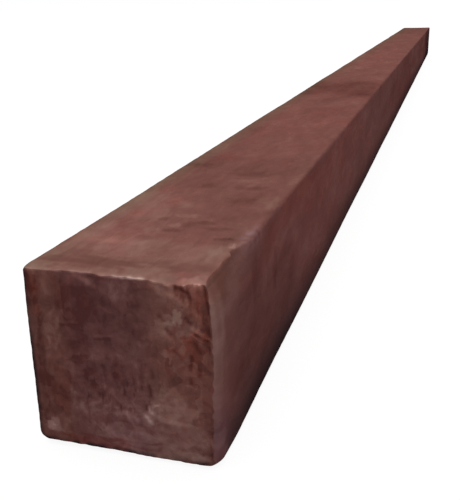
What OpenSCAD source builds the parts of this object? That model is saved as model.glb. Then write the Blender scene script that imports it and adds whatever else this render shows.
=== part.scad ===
// Plastic lumber post: one solid bar of recycled plastic, moulded in a square
// section with rounded long edges and sawn to a stock length. It lies on one side.
// Millimetres. +Y runs along the post, +Z is up, and the origin is the middle of
// the underside.

/* [Section] */
// Width of the section, from side to side
section_w = 90; // [70:1:150]
// Height of the section, from underside to top
section_h = 90; // [70:1:150]
// Radius moulded along the four long edges
long_edge_r = 5; // [3:0.5:12]

/* [Length and ends] */
// Length between the two sawn ends
post_l = 2400; // [300:50:4000]
// How far the four sides draw in at each end
end_draw_in = 2; // [0.5:0.1:2.5]
// Length over which the sides curve in to an end
end_draw_l = 8; // [4:0.5:20]

/* [Torn corner] */
// Depth of the pocket torn out of the front end, below the sawn face
tear_depth = 2; // [0.5:0.1:6]
// Plastic left between the pocket and the end's upper rim
tear_top_lip = 1.5; // [0.5:0.1:4]
// Plastic left between the pocket and the end's side rim
tear_side_lip = 1; // [0.5:0.1:4]
// Radius of the arc where the tear stopped
tear_arc_r = 69; // [68:0.5:74]
// Distance of that arc's centre from the side
tear_arc_from_side = 70; // [66:0.5:70]
// Distance of that arc's centre from the top
tear_arc_from_top = 52; // [48:0.5:56]

/* [Hidden] */
// Fineness of the preview's arcs
$fn = 64;
// Width and height of the flats between the rounded long edges
flat_w = section_w - 2 * long_edge_r;
flat_h = section_h - 2 * long_edge_r;
// Radius of the curve that leaves a side tangent and meets the sawn face
end_curve_r = (end_draw_l ^ 2 + end_draw_in ^ 2) / (2 * end_draw_in);
// How far a cutting shape stands clear of the face it cuts
cut_clear = 1;
// Reddish brown of the moulded plastic
plastic_brown = [0.42, 0.27, 0.24];

// What an end's curve takes off the corner of an outline, with that corner at the origin
module drawn_in_corner() {
    difference() {
        translate([-end_draw_in, -end_draw_l])
            square([end_draw_in + cut_clear, end_draw_l + cut_clear]);
        translate([-end_curve_r, -end_draw_l])
            circle(r = end_curve_r);
    }
}

// Outline of a slab seen square on: a long rectangle, drawn in at both ends
module slab_outline(width) {
    difference() {
        square([width, post_l], center = true);
        for (side = [0, 1], end = [0, 1])
            mirror([side, 0])
                mirror([0, end])
                    translate([width / 2, post_l / 2])
                        drawn_in_corner();
    }
}

// Slab that reaches both sides and stops where the long edges begin to round
module side_to_side_slab() {
    linear_extrude(height = flat_h, center = true)
        slab_outline(section_w);
}

// Slab that reaches the underside and the top, within the same flats
module bottom_to_top_slab() {
    rotate([0, 90, 0])
        linear_extrude(height = flat_w, center = true)
            slab_outline(section_h);
}

// One long edge: a turned bar of the edge radius, drawn in at its ends like the slabs
module long_edge_bar() {
    rotate([90, 0, 0])
        rotate_extrude()
            difference() {
                translate([0, -post_l / 2])
                    square([long_edge_r, post_l]);
                for (end = [0, 1])
                    mirror([0, end])
                        translate([long_edge_r, post_l / 2])
                            drawn_in_corner();
            }
}

// The sound bar: two crossed slabs filled out at the corners by the four long edges
module sawn_bar() {
    side_to_side_slab();
    bottom_to_top_slab();
    for (side = [-1, 1], level = [-1, 1])
        translate([side * flat_w / 2, 0, level * flat_h / 2])
            long_edge_bar();
}

// Pocket torn from the front end's upper right corner: lips along the end's rim bound
// it outwards, and an arc bounds it towards the middle of the end
module torn_pocket() {
    pocket_w = tear_arc_from_side - end_draw_in - tear_side_lip;
    pocket_h = tear_arc_from_top - end_draw_in - tear_top_lip;
    translate([section_w / 2 - tear_arc_from_side, -post_l / 2, section_h / 2 - tear_arc_from_top])
        rotate([90, 0, 0])
            linear_extrude(height = 2 * tear_depth, center = true)
                difference() {
                    square([pocket_w, pocket_h]);
                    circle(r = tear_arc_r);
                }
}

// The post: the bar with its torn corner, standing on its underside
module post() {
    color(plastic_brown)
        translate([0, 0, section_h / 2])
            difference() {
                sawn_bar();
                torn_pocket();
            }
}

post();
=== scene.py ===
import math

import bpy
import numpy as np
from mathutils import Matrix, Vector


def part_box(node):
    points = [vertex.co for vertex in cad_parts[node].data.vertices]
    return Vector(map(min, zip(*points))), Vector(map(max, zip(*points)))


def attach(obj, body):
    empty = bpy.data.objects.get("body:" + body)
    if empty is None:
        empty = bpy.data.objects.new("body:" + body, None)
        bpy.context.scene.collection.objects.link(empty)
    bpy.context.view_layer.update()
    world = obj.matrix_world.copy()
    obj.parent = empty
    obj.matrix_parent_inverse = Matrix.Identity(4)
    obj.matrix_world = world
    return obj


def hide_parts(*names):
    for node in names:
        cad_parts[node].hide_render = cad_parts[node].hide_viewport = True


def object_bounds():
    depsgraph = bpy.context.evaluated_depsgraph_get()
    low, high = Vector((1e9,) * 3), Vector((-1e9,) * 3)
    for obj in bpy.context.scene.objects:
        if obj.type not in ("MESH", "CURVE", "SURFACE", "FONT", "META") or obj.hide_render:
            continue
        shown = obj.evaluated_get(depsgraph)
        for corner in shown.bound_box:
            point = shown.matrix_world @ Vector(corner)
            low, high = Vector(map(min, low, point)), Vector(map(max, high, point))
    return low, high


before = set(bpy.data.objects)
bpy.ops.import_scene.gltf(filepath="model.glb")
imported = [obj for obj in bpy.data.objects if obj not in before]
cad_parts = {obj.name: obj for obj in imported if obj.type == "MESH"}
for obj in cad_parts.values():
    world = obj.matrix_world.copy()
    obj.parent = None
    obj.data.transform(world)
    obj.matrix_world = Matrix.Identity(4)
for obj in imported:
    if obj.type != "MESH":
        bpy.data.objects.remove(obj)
cad_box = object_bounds()

# Camera
# It stands low and close in front of the torn end, a little to the right, and looks down the length of the
# post. Its place and angles were fitted to the outline in the photograph, so they aren't round numbers.
camera_data = bpy.data.cameras.new("camera")
camera_data.sensor_width = 36.0
camera_data.lens = 50.74
camera_data.clip_start = 0.01
camera = bpy.data.objects.new("camera", camera_data)
camera_from_front = 0.2459
camera_right = 0.1292
camera_height = 0.1955
view_azimuth = math.radians(17.452)
view_drop = math.radians(19.475)
view_roll = math.radians(-1.634)
camera_place = Matrix.Translation((camera_right, cad_box[0].y - camera_from_front, camera_height))
camera_turn = Matrix.Rotation(view_azimuth, 4, "Z") @ Matrix.Rotation(math.pi / 2 - view_drop, 4, "X")
camera.matrix_world = camera_place @ camera_turn @ Matrix.Rotation(view_roll, 4, "Z")
bpy.context.scene.collection.objects.link(camera)
bpy.context.scene.camera = camera

# Post: shape
# One solid bar of recycled plastic, moulded in a square section with rounded long edges and sawn to length.
# Its sides draw in a little at the ends, and the saw has torn a pocket out of the front end's upper right
# corner. All of it is worked out in mm: x from the middle, y from the front end and z from the underside.
mm = 0.001
post_low, post_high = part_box("post")
side_length = (post_high.x - post_low.x) / mm
half_side = side_length / 2
post_length = (post_high.y - post_low.y) / mm
long_edge_radius = 5.0
end_draw_in = 2.0
end_draw_length = 8.0


def ease(t):
    """Smooth step: 0 below 0, 1 above 1 and the cubic 3t^2 - 2t^3 between."""
    t = np.clip(t, 0, 1)
    return t * t * (3 - 2 * t)


def waves(axes, lengths, seed, count=24):
    """Smooth noise of unit spread: a sum of sine waves with random directions, lengths and phases.

    axes holds the coordinates, and lengths gives a usual wavelength along each of them.
    """
    draw = np.random.default_rng(seed)
    direction = draw.normal(size=(count, len(axes)))
    direction /= np.linalg.norm(direction, axis=1, keepdims=True)
    direction *= draw.uniform(0.6, 1.6, (count, 1)) * 2 * math.pi / np.array(lengths)
    phase = draw.uniform(0, 2 * math.pi, count)
    return np.sin(np.stack(axes, -1) @ direction.T + phase).sum(-1) * math.sqrt(2 / count)


def spot(u, v, middle, reach):
    """Soft spot: a Gaussian hill of height 1 around its middle, with its own reach along each axis."""
    return np.exp(-(((u - middle[0]) / reach[0]) ** 2) - ((v - middle[1]) / reach[1]) ** 2)


def stroke(u, v, start, stop, width):
    """Soft stroke: a Gaussian of the distance to the straight line from start to stop."""
    run = np.subtract(stop, start)
    t = np.clip(((u - start[0]) * run[0] + (v - start[1]) * run[1]) / (run @ run), 0, 1)
    gap = np.hypot(u - start[0] - t * run[0], v - start[1] - t * run[1])
    return np.exp(-((gap / width) ** 2))


# The upper right long edge is knocked off over its first stretch: a flat that leans out from the top
knocked_edge = 40.3
knocked_length = 40.0
knocked_lean = math.radians(25)


def knocked_line(y):
    """Where the knocked-off flat meets the top: a stepped line through marks that ends at the edge."""
    marks = [0, 4, 9, 13, 18, 25, 29.5, 32, 35, 38, 41, 46.5, 50, 60, 90]
    edge = [
        knocked_edge, 40.6, 41.0, 41.0, 41.3, 40.7, 41.4, 42.3, 40.9, 39.5, 41.5, 43.0, 43.6, 44.2, 45.5,
    ]
    return np.interp(y, marks, edge)


def past_knocked_flat(x, z, edge):
    """Distance of a point beyond the knocked-off flat, whose upper line lies at x = edge on the top."""
    return (x - edge) * math.cos(knocked_lean) + (z - side_length) * math.sin(knocked_lean)


# The torn pocket lies beyond an arc about a point low on the left, and lips of plastic bound it at the rim
tear_middle = (-25, 38)
tear_radius = 68.2
tear_right = 42.4
tear_bottom = 50


def torn_pocket(x, z):
    """1 inside the torn pocket and 0 outside: soft steps beyond a ragged arc and within the rim's lips."""
    ragged = 0.7 * waves([x, z], [9, 9], 21)
    beyond_arc = ease((np.hypot(x - tear_middle[0], z - tear_middle[1]) + ragged - tear_radius) / 1.6)
    inside_lips = ease((tear_right - x) / 1.2) * ease((z - tear_bottom) / 4)
    return beyond_arc * inside_lips * ease(-0.2 - past_knocked_flat(x, z, knocked_edge))


def fibres(x, z):
    """Torn fibres in the pocket: upright ridges a few mm apart that lean a little to the left."""
    lean = x + 0.12 * z
    return waves([lean, z], [3.0, 30], 33) + 0.6 * waves([lean, z], [1.5, 12], 36)


# Marks that the saw left on the front end, and a few strokes of painted shade in the torn pocket: start,
# stop, width, change of film, redness and depth
saw_marks = [
    ((34.6, 68.3), (41.3, 63.7), 0.9, 0.45, 0.7, -0.3),
    ((35.6, 66.0), (40.6, 62.4), 0.7, -0.32, 0.4, 0.3),
    ((29.0, 75.9), (33.2, 73.8), 0.6, -0.14, 0.5, 0.15),
    ((37.6, 62.2), (40.4, 58.2), 0.8, 0.22, 0.4, -0.2),
    ((17.0, 86.2), (26.0, 82.6), 1.5, 0.22, 0.3, -0.2),
    ((26.0, 82.6), (32.0, 78.0), 1.5, 0.24, 0.2, -0.2),
    # The next two strokes darken the notch under the top lip: painted shade over a shallow groove
    ((28.2, 85.5), (32.2, 83.6), 0.9, -0.55, 0.3, 0.5),
    ((31.6, 83.9), (34.0, 80.6), 1.0, -0.30, 0.3, 0.3),
    # Next stroke: a dark strip down the torn pocket's right wall, painted shade over a shallow groove
    ((40.4, 84.0), (41.2, 66.0), 2.0, -0.30, 0.2, 0.2),
    ((35.4, 84.5), (36.2, 78.0), 0.7, 0.24, 0.5, -0.2),
    ((37.6, 82.0), (38.0, 71.0), 0.7, 0.12, 0.5, -0.2),
    ((36.6, 84.5), (37.2, 75.0), 0.6, -0.20, 0.3, 0.2),
    ((21.2, 65.2), (24.2, 62.0), 0.8, 0.16, 0.6, -0.1),
    ((33.2, 51.4), (32.8, 48.9), 0.8, -0.42, 0.3, 0.3),
    ((32.6, 44.4), (32.8, 42.2), 0.8, -0.40, 0.2, 0.3),
    ((33.3, 55.0), (33.7, 53.2), 0.8, -0.45, 0.5, 0.3),
    ((26.0, 57.1), (28.7, 54.2), 0.9, -0.32, 0.2, 0.2),
    ((20.0, 72.4), (21.6, 70.8), 1.0, -0.35, 0.0, 0.2),
    ((15.0, 28.6), (17.4, 29.3), 0.5, 0.60, -0.2, -0.2),
    ((12.4, 26.2), (13.6, 24.9), 1.2, 0.66, 0.0, -0.2),
    ((10.8, 22.4), (11.6, 21.6), 1.2, 0.60, 0.0, -0.2),
    ((12.4, 20.2), (13.2, 19.4), 1.1, 0.60, 0.0, -0.2),
    ((13.8, 27.2), (14.4, 27.9), 0.4, 0.30, -0.2, 0.0),
    ((11.0, 27.8), (11.2, 26.2), 0.7, -0.70, 0.0, 0.3),
    ((11.0, 24.6), (11.4, 23.8), 0.6, -0.25, 0.0, 0.2),
    ((13.4, 38.4), (13.8, 32.4), 0.7, -0.35, 0.1, 0.3),
    ((14.6, 46.0), (15.4, 43.0), 0.9, -0.25, 0.1, 0.2),
    ((-8.4, 45.0), (-7.8, 42.8), 1.0, -0.28, 0.1, 0.2),
    ((-17.3, 41.5), (-17.0, 37.5), 0.9, -0.25, 0.1, 0.2),
    ((-8.6, 40.0), (-8.4, 34.0), 0.6, 0.20, 0.0, -0.1),
    ((-14.4, 37.0), (-14.2, 33.5), 0.8, -0.22, 0.1, 0.2),
    ((1.0, 37.0), (1.2, 32.0), 0.7, -0.22, 0.1, 0.2),
    ((8.0, 42.0), (8.3, 35.0), 0.7, 0.20, 0.0, -0.1),
    ((-20.6, 24.4), (-19.4, 20.6), 1.1, 0.26, -0.1, -0.1),
    ((-18.0, 23.6), (-12.0, 27.0), 0.9, 0.20, -0.1, -0.1),
    ((-4.0, 25.0), (-3.4, 20.6), 0.8, 0.25, 0.0, -0.1),
    ((1.6, 24.0), (2.0, 20.0), 0.7, 0.22, 0.0, -0.1),
    ((5.4, 21.6), (6.4, 19.6), 0.9, 0.26, 0.0, -0.1),
    ((-11.0, 59.6), (-2.5, 60.8), 0.6, 0.22, 0.1, -0.1),
    ((-11.0, 58.0), (-4.0, 58.8), 0.7, -0.20, 0.1, 0.2),
    ((-18.0, 88.0), (-9.0, 83.5), 1.5, 0.36, 0.5, -0.2),
    ((-11.0, 87.4), (0.0, 86.4), 1.0, -0.24, 0.2, 0.2),
    ((-28.0, 64.8), (-18.5, 65.2), 0.5, 0.18, 0.0, -0.1),
    ((-28.0, 63.2), (-19.0, 63.6), 0.6, -0.16, 0.1, 0.1),
    ((-25.4, 84.0), (-25.0, 66.0), 0.5, -0.20, 0.2, 0.1),
    ((41.0, 7.2), (41.6, 6.0), 1.2, -0.26, 0.3, 0.1),
    ((31.4, 72.9), (32.2, 72.3), 0.6, -0.44, 0.5, 0.3),
    ((33.0, 71.2), (33.9, 70.5), 0.7, -0.50, 0.5, 0.4),
    ((-41.2, 86.0), (-40.6, 60.0), 1.5, -0.12, 0.5, 0.1),
    ((-38.6, 85.0), (-38.2, 70.0), 1.2, 0.08, 0.0, 0.0),
    ((-36.5, 86.0), (-36.5, 76.0), 1.1, -0.12, 0.6, 0.1),
    ((-33.0, 86.5), (-33.0, 78.0), 2.0, 0.12, 0.1, -0.1),
    ((-28.0, 86.0), (-27.5, 72.0), 1.4, -0.14, 0.3, 0.1),
    ((-24.0, 85.0), (-24.0, 70.0), 1.2, -0.08, 0.4, 0.1),
    ((-21.0, 87.0), (-21.4, 68.0), 0.9, 0.14, 0.4, -0.1),
    ((-17.5, 82.0), (-17.0, 64.0), 1.3, -0.08, 0.2, 0.1),
    ((34.6, 62.4), (37.6, 57.2), 0.7, -0.28, 0.4, 0.2),
    ((36.8, 52.4), (36.4, 46.5), 1.0, -0.16, 0.2, 0.2),
    ((31.5, 86.8), (38.5, 87.0), 1.3, 0.40, 0.3, 0.0),
    ((-9.5, 84.8), (-3.5, 83.6), 1.7, -0.18, 0.0, 0.1),
    ((22.7, 66.8), (25.0, 64.5), 0.8, -0.40, -0.1, 0.2),
]


def front_relief(x, z):
    """Depth of the front end below its highest points: a wavy sawn face with marks in it.

    The torn pocket, fine strokes low in the middle, a slope to the lower right rim and the saw's marks are
    added to it.
    """
    depth = 0.45 + 0.10 * waves([x, z], [24, 30], 31) + 0.05 * waves([x, z], [5, 11], 32)
    pocket_floor = 1.20 + 0.09 * fibres(x, z) + 0.20 * waves([x, z], [6, 6], 34)
    depth = depth + torn_pocket(x, z) * pocket_floor
    depth = depth + 0.07 * spot(x, z, (-3, 32), (20, 17)) * waves([x, z], [2.4, 9], 35)
    depth = depth + 1.5 * np.exp(-np.clip(44.0 - x, 0, None) / 1.6) * (1 - ease((z - 45) / 35))
    for start, stop, width, lighter, redder, dip in saw_marks:
        depth = depth + dip * stroke(x, z, start, stop, width)
    return np.clip(depth, 0, None)


def saw_arcs(x, z):
    """Arcs that the saw left on the back end: long upright waves a few mm apart, bent by a parabola."""
    return waves([x + 0.003 * (z + 60) ** 2, z], [4, 60], 42)


def back_relief(x, z):
    """Depth of the back end below its highest points: a wavy sawn face with shallow arcs of the saw."""
    return np.clip(0.35 + 0.10 * waves([x, z], [26, 30], 41) + 0.06 * saw_arcs(x, z), 0, None)


def section_ring(arc_steps, flat_steps, radius):
    """Points round a rounded square about its middle, with their outward normals, one row per station.

    Each side runs from half-way round one corner to half-way round the next: an eighth of a circle, a
    straight run and another eighth. radius has a row per station and a column per corner: lower left, lower
    right, upper right, upper left. The sides follow in the order underside, right, top, left.
    """
    eighth = math.pi / 4
    step = np.arange(2 * arc_steps + flat_steps)
    rising = eighth + eighth * np.clip(step / arc_steps, 0, 1)
    falling = 2 * eighth - eighth * np.clip((step - arc_steps - flat_steps) / arc_steps, 0, 1)
    along = np.clip((step - arc_steps) / flat_steps, 0, 1)
    normal_along = np.cos(falling) - np.cos(rising)
    normal_out = np.sin(rising) * np.sin(falling)
    points = []
    normals = []
    for side in range(4):
        first = radius[:, [side]]
        last = radius[:, [(side + 1) % 4]]
        straight = (first - half_side) * (1 - along) + (half_side - last) * along
        u = straight - first * np.cos(rising) + last * np.cos(falling)
        v = half_side - first * (1 - np.sin(rising)) - last * (1 - np.sin(falling))
        c = round(math.cos(side * math.pi / 2))
        s = round(math.sin(side * math.pi / 2))
        points.append(np.stack([u * c + v * s, u * s - v * c], -1))
        turned = np.stack([normal_along * c + normal_out * s, normal_along * s - normal_out * c], -1)
        normals.append(np.broadcast_to(turned, points[-1].shape))
    return np.concatenate(points, 1), np.concatenate(normals, 1)


def end_curve(y):
    """Share of the draw-in at a distance from an end: a circle tangent to the side, 1 at the end."""
    radius = (end_draw_length**2 + end_draw_in**2) / (2 * end_draw_in)
    inside = np.clip(end_draw_length - y, 0, end_draw_length)
    return (radius - np.sqrt(radius**2 - inside**2)) / end_draw_in


def top_rim_drop(x):
    """How far the front end's upper rim lies below the top: a line through marks, most over the pocket."""
    marks = [-45, -38, -30, -25, -18, -10, -5, 0, 5, 10, 16, 20, 25, 29, 33, 38, 41, 45]
    drop = [1.3, 1.4, 1.1, 0.9, 0.7, 1.0, 1.6, 1.4, 1.6, 1.4, 1.5, 2.3, 3.1, 3.6, 2.6, 2.2, 1.5, 1.0]
    return np.interp(x, marks, drop)


def left_rim_inset(z):
    """How far the front end's left rim lies inside the left side: a line through marks, most at the top."""
    marks = [5, 11, 16, 22, 27, 38, 45, 60, 75, 88]
    inset = [0.2, 0.15, 0.45, 0.6, 0.8, 1.1, 1.0, 1.35, 1.6, 2.0]
    return np.interp(z, marks, inset)


def front_draw_in(x, z, normal):
    """How far each point of the front rim is drawn in: a line of its own for each side, made ragged."""
    top = top_rim_drop(x)
    left = left_rim_inset(z)
    right = np.interp(z, [8, 30, 60, 88], [3.7, 2.9, 2.0, 1.6])
    under = np.interp(x, [-30, -5, 10, 36], [2.3, 2.1, 1.6, 1.7])
    facing = np.clip(normal, 0, 1) ** 2
    away = np.clip(-normal, 0, 1) ** 2
    ragged = (0.04 + 0.08 * facing[..., 1] + 0.16 * facing[..., 0]) * waves([x, z], [6, 6], 51)
    drawn_in = facing[..., 1] * top + facing[..., 0] * right + away[..., 0] * left + away[..., 1] * under
    return drawn_in + ragged


def skin(stations, arc_steps, flat_steps):
    """The bar's skin and its normals: section rings at the stations, drawn in at the ends and dented.

    The long edges' radii waver, and wear changes them at the front end. The knocked-off flat then cuts the
    upper right edge. The rings near an end follow its relief, so the skin meets the end's own surface.
    """
    y = stations[:, None]
    worn = np.array([0, 0, -2.6, 0]) + np.array([-1.0, -2.2, 0, 0]) * np.exp(-((y / 70) ** 2))
    worn = worn + np.array([2.0, 0, 0, -1.6]) * np.exp(-((y / 5) ** 2))
    worn = worn + np.array([0, 2.8, 0, 0]) * np.exp(-((y / 18) ** 2))
    uneven = np.stack([waves([stations], [260], seed) for seed in (61, 62, 63, 64)], 1)
    ring, normal = section_ring(arc_steps, flat_steps, long_edge_radius + 0.3 * uneven + worn)
    x = ring[..., 0]
    z = ring[..., 1] + half_side
    y = np.broadcast_to(y, x.shape)
    place = [x, y, z]
    dents = 0.07 * (1.2 + waves(place, [80, 200, 80], 71)) + 0.05 * (1.2 + waves(place, [34, 13, 34], 72))
    front = front_draw_in(x, z, normal) * end_curve(y)
    back = (end_draw_in + 0.15 * waves(place, [9, 9, 9], 73)) * end_curve(post_length - y)
    shrink = front + back + np.clip(dents, 0, None) * (1 - np.clip(-normal[..., 1], 0, 1))
    x = x - normal[..., 0] * shrink
    z = z - normal[..., 1] * shrink
    past = past_knocked_flat(x, z, knocked_line(y))
    blend = 0.2 + 3.2 * np.clip(normal[..., 0], 0, 1) ** 2 * (1 - ease((y - knocked_length + 4) / 10))
    cut = np.where(y < knocked_length + 8, (past + np.hypot(past, blend)) / 2, np.clip(past, 0, None))
    flat_normal = np.array([math.cos(knocked_lean), math.sin(knocked_lean)])
    x = x - cut * flat_normal[0]
    z = z - cut * flat_normal[1]
    normal = np.where(past[..., None] > 0, flat_normal, normal)
    near = 1 - np.clip(y / end_draw_length, 0, 1)
    far = 1 - np.clip((post_length - y) / end_draw_length, 0, 1)
    y = y + near * front_relief(x, z) - far * back_relief(x, z)
    return np.stack([x, y, z], -1), normal


def end_grid(ring):
    """Coons patch over an end: a grid blended from the four sides of its ring, lower left corner first."""
    side = len(ring) // 4
    under, right, top, left = (
        np.take(ring, np.arange(k * side, (k + 1) * side + 1), 0, mode="wrap") for k in range(4)
    )
    top, left = top[::-1], left[::-1]
    u = np.linspace(0, 1, side + 1)[None, :, None]
    v = np.linspace(0, 1, side + 1)[:, None, None]
    across = left[:, None] * (1 - u) + right[:, None] * u
    upward = under[None] * (1 - v) + top[None] * v
    corners = (under[0] * (1 - u) + under[-1] * u) * (1 - v) + (top[0] * (1 - u) + top[-1] * u) * v
    return across + upward - corners


def ring_faces(first, rows, around):
    """Quads between the rings of a skin whose vertices start at first, facing outwards."""
    index = first + np.arange(rows * around).reshape(rows, around)
    near, far = index[:-1], index[1:]
    return np.stack([near, far, np.roll(far, -1, 1), np.roll(near, -1, 1)], -1).reshape(-1, 4)


def seam_faces(fine, coarse):
    """Triangles between a ring and the next one with half as many points, facing outwards."""
    a, b, c = fine[0::2], fine[1::2], np.roll(fine, -1)[1::2]
    d, e = coarse, np.roll(coarse, -1)
    return np.concatenate([np.stack(corners, -1) for corners in ((a, d, b), (b, d, e), (b, e, c))])


def end_faces(ring, first, side):
    """Quads over an end's grid, with the ring's vertices on its border and those from first on inside."""
    index = np.empty((side + 1, side + 1), int)
    index[1:-1, 1:-1] = first + np.arange((side - 1) ** 2).reshape(side - 1, side - 1)
    index[0, :] = np.take(ring, np.arange(0, side + 1))
    index[:, -1] = np.take(ring, np.arange(side, 2 * side + 1))
    index[-1, ::-1] = np.take(ring, np.arange(2 * side, 3 * side + 1))
    index[::-1, 0] = np.take(ring, np.arange(3 * side, 4 * side + 1), mode="wrap")
    return np.stack([index[:-1, :-1], index[:-1, 1:], index[1:, 1:], index[1:, :-1]], -1).reshape(-1, 4)


# Stations along the post lie close together at the front end and grow apart with the distance from it
arc_steps, flat_steps = 8, 112
front_zone = 52.0
growth = 1.022
growth_length = 62.0
curved = np.linspace(0, end_draw_length, 14)
nearby = np.geomspace(end_draw_length, front_zone, 29)
front_stations = np.concatenate([curved, nearby[1:]])
growing = front_zone + growth_length * (growth ** np.arange(1, 114) - 1)
steady = np.linspace(growing[-1], post_length - end_draw_length, 75)
back_stations = post_length - np.linspace(end_draw_length, 0, 6)
long_stations = np.concatenate([growing, steady[1:], back_stations[1:]])
front_skin, front_normal = skin(front_stations, arc_steps, flat_steps)
long_skin, long_normal = skin(long_stations, arc_steps // 2, flat_steps // 2)
front_end = end_grid(front_skin[0])[1:-1, 1:-1]
front_end[..., 1] = front_relief(front_end[..., 0], front_end[..., 2])
back_end = end_grid(long_skin[-1])[1:-1, 1:-1]
back_end[..., 1] = post_length - back_relief(back_end[..., 0], back_end[..., 2])
vertices = np.concatenate([piece.reshape(-1, 3) for piece in (front_skin, long_skin, front_end, back_end)])

front_rows, front_around = front_skin.shape[:2]
long_rows, long_around = long_skin.shape[:2]
long_first = front_rows * front_around
front_end_first = long_first + long_rows * long_around
back_end_first = front_end_first + front_end.shape[0] * front_end.shape[1]
last_front_ring = np.arange(long_first - front_around, long_first)
first_long_ring = np.arange(long_first, long_first + long_around)
last_long_ring = np.arange(front_end_first - long_around, front_end_first)
quads = np.concatenate([
    ring_faces(0, front_rows, front_around),
    ring_faces(long_first, long_rows, long_around),
    end_faces(np.arange(front_around), front_end_first, front_around // 4),
    end_faces(last_long_ring, back_end_first, long_around // 4)[:, ::-1],
])
triangles = seam_faces(last_front_ring, first_long_ring)
post_mesh = bpy.data.meshes.new("post_skin")
placed = vertices * mm + np.array([0, post_low.y, post_low.z])
post_mesh.from_pydata(placed.tolist(), [], quads.tolist() + triangles.tolist())
post_mesh.polygons.foreach_set("use_smooth", np.ones(len(post_mesh.polygons), bool))
post_mesh.set_sharp_from_angle(angle=math.radians(35))
post_skin = bpy.data.objects.new("post_skin", post_mesh)
bpy.context.scene.collection.objects.link(post_skin)
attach(post_skin, "root")
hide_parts("post")

# Post: finish
# The plastic is a dull reddish brown with streaks of other scrap in it. A chalky grey film lies on it in
# patches, wear and a painted highlight leave it pale along the front rim, a painted sheen lies on one long
# edge, the tear shows fresh red plastic and dirt lies along some rims. Painted shade darkens the lower sides
# and the far end. Weights at the mesh's points say where each of these lies, and the material makes them
# visible.
x, y, z = vertices.T
no_side = np.zeros((len(vertices) - front_end_first, 2))
normal = np.concatenate([front_normal.reshape(-1, 2), long_normal.reshape(-1, 2), no_side])
on_front = np.zeros(len(vertices))
on_front[:front_around] = 1
on_front[front_end_first:back_end_first] = 1
on_back = np.zeros(len(vertices))
on_back[last_long_ring] = 1
on_back[back_end_first:] = 1
on_skin = (1 - on_front) * (1 - on_back)
on_top = on_skin * np.clip(normal[:, 1], 0, 1) ** 2
on_right = on_skin * np.clip(normal[:, 0], 0, 1) ** 2
on_left = on_skin * np.clip(-normal[:, 0], 0, 1) ** 2
on_sides = on_right + on_left


def patch(u, v, middle, reach, seed, softness):
    """Patch with a plain middle and an uneven edge: a soft step of the distance from it, bent by noise."""
    away = np.hypot((u - middle[0]) / reach[0], (v - middle[1]) / reach[1])
    bend = waves([u, v], [1.1 * reach[0], 1.1 * reach[1]], seed)
    return ease((1 - away - 0.20 * bend) / softness + 0.5)


def film_and_red(u, v, patches, seed, softness):
    """Changes of film and redness on one face: the sum of its patches, each with noise of its own."""
    changes = np.zeros((2, len(u)))
    for number, (middle, reach, film, red) in enumerate(patches):
        changes += np.outer([film, red], patch(u, v, middle, reach, seed + number, softness))
    return changes


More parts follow.
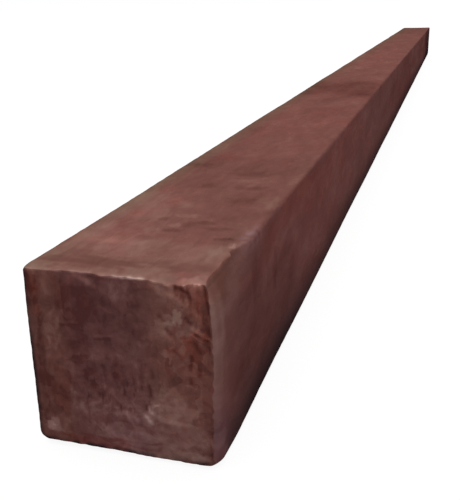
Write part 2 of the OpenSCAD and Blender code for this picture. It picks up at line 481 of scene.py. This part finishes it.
# Patches on the front end, across and upwards: middle, reach, change of film and redness
front_patches = [
    ((-41, 54), (4, 36), -0.16, 0.1),
    ((-33, 78), (3.4, 8), 0.0, 0.1),
    ((-38.4, 74), (2, 7), 0.0, 0.8),
    ((-32.2, 60.5), (4.2, 8), 0.22, -0.3),
    ((-41, 66), (3, 10), 0.12, -0.2),
    ((-31, 31), (6.5, 13), -0.17, 0.55),
    ((-38, 37), (3, 7), -0.14, 0.2),
    ((-23, 27), (4, 5), 0.10, -0.3),
    ((-14, 76), (4.6, 6), -0.10, 0.3),
    ((-25, 76), (3, 5), 0.08, 0.15),
    ((7, 69.5), (3.4, 4.5), -0.12, -0.2),
    ((1, 66), (9, 18), 0.06, -0.25),
    ((12, 74), (4, 10), -0.06, -0.2),
    ((-32, 55.6), (3, 3), 0.14, -0.1),
    ((13, 55), (4, 5), 0.10, -0.2),
    ((2, 9), (30, 6), 0.08, -0.2),
    ((10, 35), (8, 16), 0.0, -0.35),
    ((-19, 45), (7, 4), -0.12, 0.0),
    ((-36.4, 11), (4.2, 3.8), 0.32, -0.4),
    ((-38.4, 10.3), (2.6, 2.4), 0.32, 0.1),
    ((-10, 68), (17, 15), -0.18, 0.0),
    ((-20, 66), (6, 5), -0.06, 0.1),
    ((3, 82), (6, 5), 0.16, -0.2),
    ((-7, 52), (9, 4), 0.12, 0.0),
    ((-12, 39), (9, 7), -0.10, 0.1),
    ((3, 43), (8, 5), -0.12, 0.1),
    ((0.6, 12), (14, 5.6), 0.20, -0.1),
    ((-16, 23), (8, 3), 0.10, -0.2),
    ((7, 22), (9, 4), 0.18, -0.2),
    ((24.5, 29), (9, 8), 0.16, 0.0),
    ((22, 27), (6, 6), 0.12, -0.1),
    ((29, 24), (6, 7), 0.08, 0.0),
    ((18, 24), (7, 5), 0.14, -0.2),
    ((27, 15), (13, 8), 0.22, 0.0),
    ((27.9, 72.8), (2.4, 3.6), 0.40, -0.9),
    ((24.4, 69.6), (2.2, 1.0), 0.26, -0.6),
    ((20, 80), (8, 5), 0.06, -0.2),
    ((20, 64), (6, 8), 0.12, -0.2),
    ((36, 55), (5, 9), -0.06, 0.45),
    ((29, 60), (6, 6), 0.06, 0.6),
    ((34, 46), (7, 5), -0.16, 0.3),
    ((-14, 63), (32, 26), -0.12, 0.0),
    ((-26, 51), (8, 7), -0.12, 0.1),
    ((-20, 12), (8, 5), -0.12, 0.1),
    ((20, 5), (18, 4), 0.22, -0.3),
    ((-14, 4), (16, 3), 0.0, 0.5),
    ((-8, 36), (14, 6), -0.08, 0.0),
    ((41, 40), (3, 24), -0.12, 0.2),
    ((-43, 60), (3, 10), 0.10, -0.6),
    ((28, 50), (14, 40), 0.0, 0.15),
    ((3, 50), (5, 3.6), -0.12, 0.1),
    ((-35, 20), (4, 4), -0.12, 0.2),
    ((28, 40), (5, 3.4), -0.08, 0.0),
    ((20, 22.5), (3, 3.6), -0.08, 0.3),
    ((-40, 83), (3.4, 5.4), -0.18, 0.6),
    ((-40.4, 66), (2.6, 7), 0.14, -0.1),
    ((-41, 24), (2.6, 9), -0.12, 0.0),
    ((-15, 5.5), (18, 3), -0.12, 0.8),
    ((6, 58), (4, 4), 0.10, 0.0),
    ((36.4, 72.6), (2.4, 3.2), 0.10, 0.3),
    ((26.9, 67.0), (3.0, 2.6), 0.14, 0.1),
    ((-39.4, 48), (3.6, 8), -0.14, 0.0),
    ((12.4, 6.6), (5, 2.6), -0.14, 0.0),
    ((29.8, 79.3), (2.4, 2.6), -0.12, 0.0),
    ((26.4, 50.4), (3.4, 3.2), -0.14, 0.2),
    ((26.8, 31.2), (3.6, 3), 0.14, 0.0),
    ((41.2, 15.6), (2, 4), -0.12, 0.1),
    ((-42, 17), (2, 4), -0.12, 0.0),
    ((2.3, 82.4), (3, 2.4), -0.12, 0.0),
    ((34.2, 64.2), (2.2, 2.2), 0.14, 0.4),
    ((-3.6, 9.4), (4, 2.6), 0.14, 0.0),
    ((25.9, 6.1), (4, 2.6), -0.12, 0.3),
    ((12, 18), (3.4, 2.6), 0.12, 0.0),
    ((5, 23.4), (3, 2.4), -0.12, 0.0),
    ((24.4, 58.4), (2.6, 2.4), -0.14, 0.1),
    ((34.2, 64.6), (2.0, 1.8), 0.12, 0.4),
    ((-11, 23), (4, 2.6), -0.12, -0.2),
    ((-38.2, 71), (1.8, 5), -0.12, 0.2),
    ((39.6, 65.0), (1.8, 1.6), 0.12, 0.2),
    ((-17, 49.4), (3, 2.6), 0.12, 0.1),
    ((37.9, 23), (3, 3.4), 0.12, 0.2),
    ((35.7, 4.6), (4, 2.4), 0.14, -0.4),
    ((42.6, 16), (1.8, 4), -0.14, 0.1),
    ((-40, 87.4), (4, 1.6), 0.20, -0.2),
    ((29.2, 71.4), (1.8, 1.6), -0.10, 0.3),
]
# Patches and smears on the top, across and along: middle, reach, change of film and redness
top_patches = [
    ((-14, 12), (24, 5), -0.16, 0.0),
    ((8, 30), (34, 11), 0.14, 0.0),
    ((28, 16), (9, 7), -0.10, 0.2),
    ((10, 7), (8, 6), 0.14, -0.2),
    ((4, 42), (12, 7), 0.10, -0.1),
    ((6, 84), (22, 20), 0.08, -0.2),
    ((37, 116), (6, 14), 0.14, -0.4),
    ((0, 130), (60, 80), 0.0, -0.25),
    ((-20, 46), (15, 14), 0.14, 0.1),
    ((-24, 100), (16, 34), 0.12, 0.0),
    ((22, 104), (14, 30), -0.08, 0.0),
    ((10, 182), (14, 5), -0.16, 0.0),
    ((20, 147), (11, 4), -0.20, 0.1),
    ((22, 119), (7, 7), -0.12, 0.1),
    ((-8, 148), (4, 5), -0.14, 0.1),
    ((14, 164), (12, 5), 0.12, 0.0),
    ((-8, 78), (2.6, 3), -0.22, 0.1),
    ((3, 61), (5, 2.4), -0.20, 0.2),
    ((8, 71), (3, 6), -0.16, 0.2),
    ((15, 76), (5, 3), -0.20, 0.1),
    ((26, 67), (7, 3), -0.18, 0.1),
    ((33, 53), (4.5, 2), -0.24, 0.0),
    ((3, 86), (6, 3), 0.14, 0.0),
    ((1, 69), (4, 2.4), 0.14, 0.0),
    ((-20, 40), (5, 5), 0.12, 0.2),
    ((-30, 201), (8, 6), -0.16, 0.1),
    ((0, 208), (60, 26), -0.10, 0.0),
    ((0, 400), (60, 90), -0.02, 0.25),
    ((0, 645), (60, 90), -0.22, 0.25),
    ((0, 1080), (60, 160), 0.04, 0.2),
    ((39.3, 43.6), (1.6, 2.6), 0.44, -0.4),
    ((42, 190), (5, 60), 0.06, -0.4),
    ((0, 6), (60, 16), 0.04, -0.7),
    ((0, 24), (60, 18), 0.0, -0.4),
    ((36, 36), (5, 11), 0.10, -0.3),
    ((-23, 120), (5, 8), 0.06, 0.2),
    ((-26, 85), (6, 6), 0.02, 0.35),
    ((-22, 233), (6, 12), -0.02, 0.6),
    ((31, 10), (4, 4), 0.04, 0.2),
    ((34, 0.5), (6.5, 3.6), 0.34, 0.6),
    ((0, 2200), (60, 220), -0.10, -0.3),
    ((-36, 45), (7, 30), 0.12, 0.0),
    ((-38, 150), (7, 110), 0.08, -0.2),
    ((34, 3), (8, 6), 0.05, 0.8),
    ((36, 40), (6, 55), 0.02, -0.6),
    ((28, 12), (5, 12), 0.0, 0.2),
    ((-26, 55), (20, 50), 0.0, 0.22),
    ((-40, 400), (8, 330), 0.0, -0.6),
    ((29, 9), (8, 5), -0.12, 0.0),
    ((-5, 57), (5, 5), 0.12, 0.0),
    ((-14, 112), (5, 9), -0.02, 0.5),
    ((-31, 137), (6, 10), -0.10, 0.5),
    ((34, 219), (5, 12), 0.12, 0.0),
    ((-29, 345), (7, 20), -0.10, 0.0),
    ((17, 81), (4, 4), 0.10, 0.0),
    ((-32, 1), (6, 4), -0.12, -0.2),
    ((-38, 2), (7, 6), 0.08, -0.6),
    ((38, 55), (4, 5), -0.10, -0.2),
    ((35.6, 46.6), (2.4, 2), -0.16, -0.2),
]
# Patches on the right side, along and upwards: middle, reach, change of film and redness
right_patches = [
    ((-4, 60), (14, 46), 0.16, -0.2),
    ((-2, 58), (9, 36), 0.17, -0.2),
    ((20, 78), (30, 10), 0.12, -0.1),
    ((85, 40), (66, 30), -0.20, 0.1),
    ((62, 68), (6, 12), -0.10, 0.1),
    ((103, 58), (5, 12), -0.16, 0.1),
    ((80, 62), (5, 14), 0.08, 0.0),
    ((330, 60), (180, 40), 0.06, 0.5),
    ((1150, 45), (300, 40), -0.10, 0.4),
    ((1780, 62), (120, 24), -0.14, 0.6),
    # Next patch: a much darker far end, painted shade
    ((2300, 45), (260, 60), -0.50, 0.6),
    ((34, 27), (14, 8), -0.14, 0.0),
    ((14, 85), (14, 7), -0.10, 0.1),
    ((140, 60), (22, 12), 0.12, 0.0),
    ((205, 23), (26, 8), -0.10, 0.0),
    ((150, 81), (80, 12), 0.0, 0.45),
    ((900, 84), (900, 8), 0.0, 0.2),
    ((200, 72), (140, 20), 0.0, 0.25),
    ((-1, 11), (9, 8), 0.22, 0.0),
    ((2, 84), (8, 7), 0.02, 0.3),
]
# Patches on the left side, along and upwards, which the photograph doesn't show
left_patches = [
    ((10, 52), (16, 40), 0.14, -0.2),
    ((90, 60), (40, 14), -0.12, 0.1),
    ((160, 36), (60, 12), 0.08, 0.3),
    ((310, 66), (110, 14), -0.10, 0.2),
    ((420, 40), (50, 22), 0.10, -0.2),
    ((640, 58), (140, 18), -0.08, 0.4),
    ((900, 44), (180, 20), 0.08, 0.2),
    ((1120, 70), (90, 10), 0.10, -0.3),
    ((1380, 50), (150, 24), -0.10, 0.3),
    ((1700, 60), (160, 16), 0.08, 0.0),
    ((1990, 40), (120, 18), -0.08, 0.2),
    ((2230, 58), (110, 26), 0.08, -0.2),
]
# Patches on the back end, across and upwards, which the photograph doesn't show either
back_patches = [
    ((-24, 66), (16, 14), -0.12, 0.2),
    ((20, 58), (18, 22), 0.10, -0.2),
    ((-8, 30), (20, 12), 0.12, 0.0),
    ((30, 24), (10, 14), -0.14, 0.4),
    ((-34, 22), (7, 12), 0.16, -0.3),
    ((4, 78), (22, 6), 0.10, -0.1),
    ((36, 76), (6, 9), -0.12, 0.5),
    ((-4, 52), (9, 7), -0.10, 0.2),
    ((14, 12), (16, 5), 0.14, -0.2),
    ((-38, 48), (4, 16), -0.12, 0.3),
]
# Film and redness of each face's patches: weight of the face, its two axes, patches, seed and softness
film = np.full(len(vertices), 0.40)
red = np.zeros(len(vertices))
faces = [
    (on_front, x, z, front_patches, 100, 0.36),
    (on_top, x, y, top_patches, 200, 1.0),
    (on_right, y, z, right_patches, 300, 1.0),
    (on_left, y, z, left_patches, 400, 0.9),
    (on_back, x, z, back_patches, 500, 0.5),
]
for weight, u, v, patches, seed, softness in faces:
    part = np.flatnonzero(weight)
    changes = film_and_red(u[part], v[part], patches, seed, softness)
    film[part] += weight[part] * changes[0]
    red[part] += weight[part] * changes[1]

# The saw's marks on the front end, and its arcs and a pale rim on the back end
front = np.flatnonzero(on_front)
for begin, stop, width, lighter, redder, dip in saw_marks:
    mark = stroke(x[front], z[front], begin, stop, width)
    film[front] += lighter * mark
    red[front] += redder * mark
arcs = saw_arcs(x, z)
back_rim = np.minimum(np.minimum(half_side - np.abs(x), z), side_length - z) - end_draw_in
pale_rim = 0.35 * np.exp(-((back_rim / 1.1) ** 2)) * np.clip(0.6 + arcs, 0, 1.4)
film += on_back * (0.07 * arcs + pale_rim)

# Fresh red plastic in the torn pocket
torn = on_front * torn_pocket(x, z)
film += torn * (0.02 - 0.09 * fibres(x, z))
red += torn * 0.5

# Pale, broken wear and a painted highlight along the front end's upper rim
on_rim = on_top + on_front * ease(z - side_length + top_rim_drop(x) + 1.2)
broken = np.clip(0.8 + 0.4 * waves([x, y], [6, 6], 81), 0, None)
# The thin pale line on the rim is partly wear and partly a painted highlight
wear_and_highlight = 0.26 + 0.15 * spot(x, y, (-4, 0), (8, 4)) + 0.95 * spot(x, y, (8, 0), (8, 4))
wear_and_highlight += 0.5 * spot(x, y, (34, 1), (8, 5))
film += on_rim * (np.exp(-((y / 1.7) ** 2)) * wear_and_highlight * broken + 0.16 * np.exp(-((y / 6) ** 2)))

# Painted lilac sheen: a highlight on the long edge behind the knocked-off stretch
lilac_sheen = on_skin * ease((z - 80) / 6) * spot(x, y, (42.6, 62), (3.6, 17))
lilac_sheen *= np.clip(0.9 + 0.35 * waves([x, y], [6, 9], 85), 0, 1.3)
# This lightening is a painted highlight on the edge
film += 0.20 * lilac_sheen
red -= 0.5 * lilac_sheen

# Mauve cast on the front end's middle and lower corners, on the sides and in the lilac sheen
mauve = 0.55 * on_front * ease((x + 30) / 10) * (1 - ease((x - 6) / 14))
mauve += 0.30 * on_front * spot(x, z, (22, 12), (26, 14))
mauve += 0.35 * on_front * spot(x, z, (-37.5, 11), (5, 5))
mauve += 0.38 * on_sides * (1 - spot(y, z, (20, 90), (45, 16)))
mauve += 0.9 * on_right * spot(y, z, (4, 14), (14, 14)) + 0.9 * lilac_sheen

# Painted shade darkening the lower sides towards the floor, with darker painted contact shade at the foot of
# the right side and a painted darker far end
floor_shade_height = 32 + 8 * ease((y - 700) / 500)
# This weight paints shade near the floor: it darkens both sides towards the underside
dirt_and_shade = 0.72 * on_sides * (1 - ease(z / floor_shade_height)) * (1 - 0.35 * np.exp(-((y / 12) ** 2)))
dirt_and_shade *= 1 - 0.95 * spot(y, z, (1, 8), (9, 9))
foot_shade = ease((y - 25) / 30) * (1 - ease((y - 110) / 120))
# The foot and far-end terms paint contact shade and shade over the far end
dirt_and_shade += 0.20 * on_right * foot_shade * (1 - ease((z - 2) / 24)) + 0.35 * on_right * ease((y - 2050) / 150)
dirt_and_shade += 0.4 * (on_top + on_sides) * ease((y - post_length + 100) / 90)

# Dirt in a broken band along the top's left edge and along the front end's left and lower rims
edge_band = (2.6 + 0.0014 * y) * np.clip(1 + 0.3 * waves([y], [31], 84), 0.3, None)
dirt_and_shade += 0.5 * on_top * ease((edge_band - half_side - x) / (0.7 * edge_band))
left_line = np.interp(z, [10, 40, 52, 62, 70, 78, 86], [0.5, 0.6, 0.5, 0.25, 0.3, 0.4, 0.5])
left_line = left_line * (1 - ease((x + half_side - left_rim_inset(z) - 0.2) / 2.8))
lower_border = z - 2.2 - 0.35 * np.clip(x - 37, 0, None)
lower_line = (0.9 - 0.6 * spot(x, z, (22, 3), (15, 9))) * (1 - ease(lower_border / 2.6))
dirt_and_shade += on_front * broken * (left_line + lower_line)
dirt_and_shade = np.clip(dirt_and_shade, 0, 0.9)

# Olive cast along the top's left edge, and browner plastic on the knocked-off flat
olive = on_top * (1 - ease((x + 43) / (16 + 0.014 * y))) * (0.5 + 0.5 * ease(y / 120))
knocked_brown = on_right * spot(y, z, (14, 86), (14, 9))
olive += 0.5 * knocked_brown
red += 0.35 * knocked_brown

# How mottled, how marked by the saw and how speckled each place is
mottled = on_front + on_back + on_top * (0.48 + 0.17 * np.exp(-y / 250)) + 0.45 * on_sides
mottled -= on_front * (0.40 * spot(x, z, (-4, 66), (24, 22)) + 0.40 * spot(x, z, (22, 18), (14, 9)))
sawn = 0.25 * on_front + 0.75 * on_front * patch(x, z, (-3, 31), (19, 16), 82, 0.6) + 0.6 * on_back
speckled = on_front * (0.3 + 0.7 * patch(x, z, (29, 53), (13, 19), 83, 0.5)) + 0.3 * on_back
weights = {"film": film, "red": red, "mauve": mauve, "olive": olive, "dirt_and_shade": dirt_and_shade}
weights.update({"sawn": sawn, "speckled": speckled, "mottled": mottled})
for name, values in weights.items():
    post_mesh.attributes.new(name, "FLOAT", "POINT").data.foreach_set("value", values.astype(np.float32))


class Finish:
    """One output socket of a shader tree: arithmetic adds Math nodes, and node() adds any other node."""

    def __init__(self, tree, socket=None):
        self.tree = tree
        self.socket = socket

    def node(self, kind, settings, sockets, out=0):
        """Adds a node, sets its properties and then its sockets, and gives back an output, if it has any."""
        added = self.tree.nodes.new(kind)
        for name, value in settings.items():
            setattr(added, name, value)
        for place, value in sockets.items():
            if isinstance(value, Finish):
                self.tree.links.new(value.socket, added.inputs[place])
            else:
                added.inputs[place].default_value = value
        return Finish(self.tree, added.outputs[out] if added.outputs else None)

    def math(self, operation, first, second, clamp=False):
        """Adds a Math node on two values or sockets."""
        settings = {"operation": operation, "use_clamp": clamp}
        return self.node("ShaderNodeMath", settings, {0: first, 1: second})

    def __add__(self, other):
        return self.math("ADD", self, other)

    def __sub__(self, other):
        return self.math("SUBTRACT", self, other)

    def __rsub__(self, other):
        return self.math("SUBTRACT", other, self)

    def __mul__(self, other):
        return self.math("MULTIPLY", self, other)

    __radd__ = __add__
    __rmul__ = __mul__

    def clamped(self):
        """The value cut to between 0 and 1."""
        return self.math("ADD", self, 0.0, clamp=True)

    def between(self, first, second):
        """Colour mixed from the first to the second by this value."""
        settings = {"data_type": "RGBA", "clamp_factor": True}
        return self.node("ShaderNodeMix", settings, {0: self, 6: first, 7: second}, out=2)

    def times(self, other):
        """This colour or vector times another, channel by channel."""
        return self.node("ShaderNodeVectorMath", {"operation": "MULTIPLY"}, {0: self, 1: other})

    def stretched(self, factors, shift):
        """This vector times a factor for each axis, plus a shift."""
        settings = {"operation": "MULTIPLY_ADD"}
        return self.node("ShaderNodeVectorMath", settings, {0: self, 1: factors, 2: shift})


def noise(place, per_metre, detail, roughness, swirl=0.0, shift=0.0):
    """Cloudy noise about 0, with its own number of patches per metre along each axis, shifted along y."""
    sockets = {"Vector": place.stretched(per_metre, (0, shift, 0)), "Scale": 1.0}
    sockets.update({"Detail": detail, "Roughness": roughness, "Distortion": swirl})
    return place.node("ShaderNodeTexNoise", {"noise_dimensions": "3D"}, sockets) - 0.5


# From here on the weights' names stand for their sockets in the material
post_material = bpy.data.materials.new("recycled_plastic")
post_material.use_nodes = True
post_material.node_tree.nodes.clear()
start = Finish(post_material.node_tree)
place = start.node("ShaderNodeTexCoord", {}, {}, out="Object")
film, red, mauve, olive, dirt_and_shade, sawn, speckled, mottled = (
    start.node("ShaderNodeAttribute", {"attribute_name": name}, {}, out="Fac") for name in weights
)

# Noise of several sizes, drawn out along the post, and chips of other scrap as cells with bent borders
clouds = noise(place, (42, 14, 42), 2.0, 0.55)
blotches = noise(place, (115, 42, 115), 3.0, 0.6, swirl=0.8, shift=-75.6)
smears = noise(place, (60, 22, 40), 2.0, 0.5, shift=-177.6)
strokes = noise(place, (430, 60, 150), 1.0, 0.5)
flecks = noise(place, (215, 90, 200), 2.0, 0.6, swirl=0.2, shift=-168.0)
grain = noise(place, (900, 300, 900), 2.0, 0.6, shift=-720.0)
hue = noise(place, (70, 30, 70), 3.0, 0.6, shift=-18.0)
ticks = (strokes * 7 - 0.6).clamped()
spotted = (flecks * 5 + 0.5).clamped() - 0.5
wobble = start.node("ShaderNodeTexNoise", {}, {"Vector": place, "Scale": 140.0, "Detail": 2.0}, out="Color")
chip_place = wobble.stretched((0.01, 0.01, 0.01), place).stretched((230, 80, 180), (0, -180, 0))
sockets = {"Vector": chip_place, "Scale": 1.0, "Smoothness": 0.15}
chips = start.node("ShaderNodeTexVoronoi", {"feature": "SMOOTH_F1"}, sockets, out="Color")
chip_tone = start.node("ShaderNodeSeparateColor", {}, {0: chips}, out=0) - 0.5
chip_hue = start.node("ShaderNodeSeparateColor", {}, {0: chips}, out=1) - 0.5

# How chalky a place is picks its tone, from dark plastic to a bare scuff, whose pale colour also paints the
# rim's highlight
patchy = blotches * 0.6 + smears * 0.12 + flecks * 0.22
chalky = film + clouds * (mottled * 0.45 + 0.12) + mottled * patchy + grain * 0.08
chalky = chalky + sawn * (spotted * 0.16 - ticks * 0.32) + (speckled * 0.30 + mottled * 0.10) * chip_tone
dark_plastic = (0.100, 0.036, 0.031, 1)
plain_plastic = (0.192, 0.079, 0.066, 1)
chalk_film = (0.340, 0.178, 0.148, 1)
# The palest colour serves bare scuffs and the painted highlight on the front rim
scuff_and_highlight = (0.580, 0.390, 0.330, 1)
colour = (chalky * 2.2).between(dark_plastic, plain_plastic)
colour = (chalky * 1.8 - 0.8).between(colour, chalk_film)
colour = (chalky * 1.6 - 1.6).between(colour, scuff_and_highlight)

# Casts of colour over that tone, and dirt and painted shade over all of it
no_cast = (1, 1, 1, 1)
redder = (1.12, 0.80, 0.74, 1)
greyer = (0.92, 1.04, 1.00, 1)
mauver = (0.95, 0.97, 1.20, 1)
olive_cast = (0.88, 1.06, 0.94, 1)
dirt_and_shade_grey = (0.019, 0.014, 0.018, 1)
warmth = red * 0.7 + (mottled * 0.9 + 0.5) * hue + (speckled * 0.5 + mottled * 0.2) * chip_hue
colour = colour.times(warmth.between(no_cast, redder))
colour = colour.times((warmth * -1.2).between(no_cast, greyer))
colour = colour.times(mauve.between(no_cast, mauver)).times(olive.between(no_cast, olive_cast))
# Mixing towards near black paints the shade near the floor and at the far end, and the dirt along the rims
colour = dirt_and_shade.between(colour, dirt_and_shade_grey)

# A dull skin with fine relief
roughness = (0.80 + blotches * 0.30 - red * 0.05).clamped()
relief = smears * 0.25 + blotches * 0.5 + flecks * 0.3 + grain * 0.2
bump = start.node("ShaderNodeBump", {}, {"Strength": 0.6, "Distance": 0.0016, "Height": relief})
sockets = {"Base Color": colour, "Roughness": roughness, "Normal": bump, "Specular IOR Level": 0.0}
plastic = start.node("ShaderNodeBsdfPrincipled", {}, sockets)
start.node("ShaderNodeOutputMaterial", {}, {"Surface": plastic})
post_mesh.materials.append(post_material)

# Floor
# A plain floor that the post lies on, white with a faint shadow where the viewer sees it. As a source of
# light it is grey, so that the post's sides stay dark.
floor_reach = 30
floor_gap = 0.0005
floor_corners = [(-1, -1), (1, -1), (1, 1), (-1, 1)]
floor_points = [(u * floor_reach, v * floor_reach, 0) for u, v in floor_corners]
floor_mesh = bpy.data.meshes.new("floor")
floor_mesh.from_pydata(floor_points, [], [(0, 1, 2, 3)])
floor = bpy.data.objects.new("floor", floor_mesh)
floor.location.z = -floor_gap
bpy.context.scene.collection.objects.link(floor)


def seen_by_viewer(start):
    """1 for rays from the camera, from gloss or through glass, else 0: the largest of the three."""
    kinds = ("Is Camera Ray", "Is Glossy Ray", "Is Transmission Ray")
    camera_ray, glossy_ray, glass_ray = (
        start.node("ShaderNodeLightPath", {}, {}, out=kind) for kind in kinds
    )
    return start.math("MAXIMUM", start.math("MAXIMUM", camera_ray, glossy_ray), glass_ray)


floor_material = bpy.data.materials.new("floor")
floor_material.use_nodes = True
floor_material.node_tree.nodes.clear()
start = Finish(floor_material.node_tree)
grey_floor = start.node("ShaderNodeBsdfDiffuse", {}, {"Color": (0.50, 0.50, 0.50, 1)})
shadow_floor = start.node("ShaderNodeBsdfDiffuse", {}, {"Color": (0.12, 0.12, 0.12, 1)})
glow = start.node("ShaderNodeEmission", {}, {"Strength": 0.92})
white_floor = start.node("ShaderNodeAddShader", {}, {0: shadow_floor, 1: glow})
floor_mix = start.node("ShaderNodeMixShader", {}, {0: seen_by_viewer(start), 1: grey_floor, 2: white_floor})
start.node("ShaderNodeOutputMaterial", {}, {"Surface": floor_mix})
floor_mesh.materials.append(floor_material)

# Light
# A wide soft lamp above the post, to its left and slightly behind, and an even sky that is white where the
# viewer sees it and dimmer as a source of light.
lamp_data = bpy.data.lights.new("softbox", "SUN")
lamp_data.energy = 2.06
lamp_data.angle = math.radians(70)
lamp = bpy.data.objects.new("softbox", lamp_data)
lamp.rotation_euler = (math.radians(-8), math.radians(-10), 0)
bpy.context.scene.collection.objects.link(lamp)

sky_light = 0.45
sky = bpy.data.worlds.new("sky")
sky.use_nodes = True
sky.node_tree.nodes.clear()
bpy.context.scene.world = sky
start = Finish(sky.node_tree)
level = sky_light + (1 - sky_light) * seen_by_viewer(start)
backdrop = start.node("ShaderNodeBackground", {}, {"Color": (1, 1, 1, 1), "Strength": level})
start.node("ShaderNodeOutputWorld", {}, {"Surface": backdrop})

bpy.context.scene.view_settings.view_transform = "Standard"
